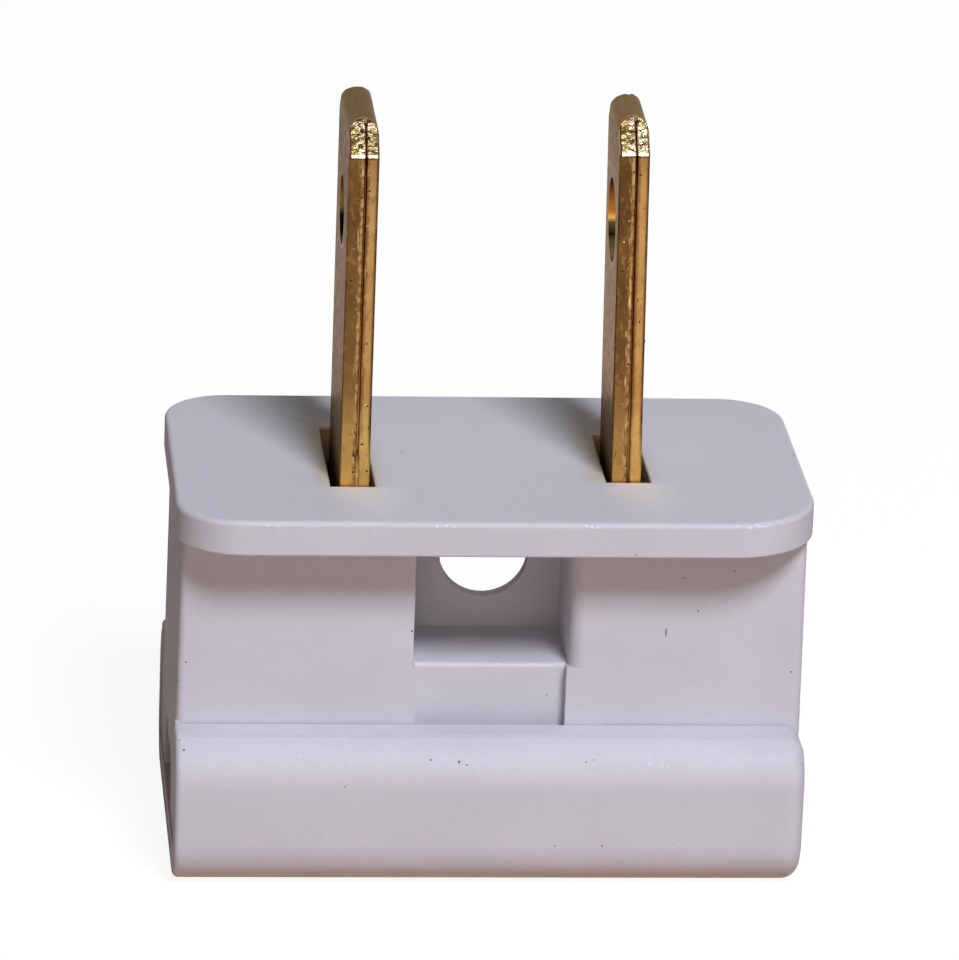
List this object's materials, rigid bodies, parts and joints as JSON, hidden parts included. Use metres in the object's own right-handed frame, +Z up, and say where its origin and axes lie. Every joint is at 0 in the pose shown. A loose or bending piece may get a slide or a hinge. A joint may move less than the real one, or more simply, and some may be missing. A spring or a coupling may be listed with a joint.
{
  "type": "two-prong plug",
  "caption": "Mains plug with folded brass blades, one wider than the other, and a cover that slides on to close the channel for a flat cord.",
  "frame": {"origin": "bottom centre of the bounding box, under the middle of the slide cover", "axes": "+Z up along the blades, X across the two blades and along the cord, -X the end where the cord comes in, -Y the side with the softer grip edge"},
  "size_m": [0.0292, 0.018, 0.035],
  "materials": {
    "body_plastic": "moulded",
    "cover_plastic": "moulded",
    "wide_blade_brass": "stamped",
    "narrow_blade_brass": "stamped"
  },
  "bodies": {
    "plug": {"plug_body": "body_plastic", "wide_blade": "wide_blade_brass", "narrow_blade": "narrow_blade_brass"},
    "cover": {"slide_cover": "cover_plastic"}
  },
  "joints": [
    {"name": "cover_slide", "type": "slide", "parent": "plug", "child": "cover", "axis": [1, 0, 0], "range_m": [0, 0.03]}
  ]
}
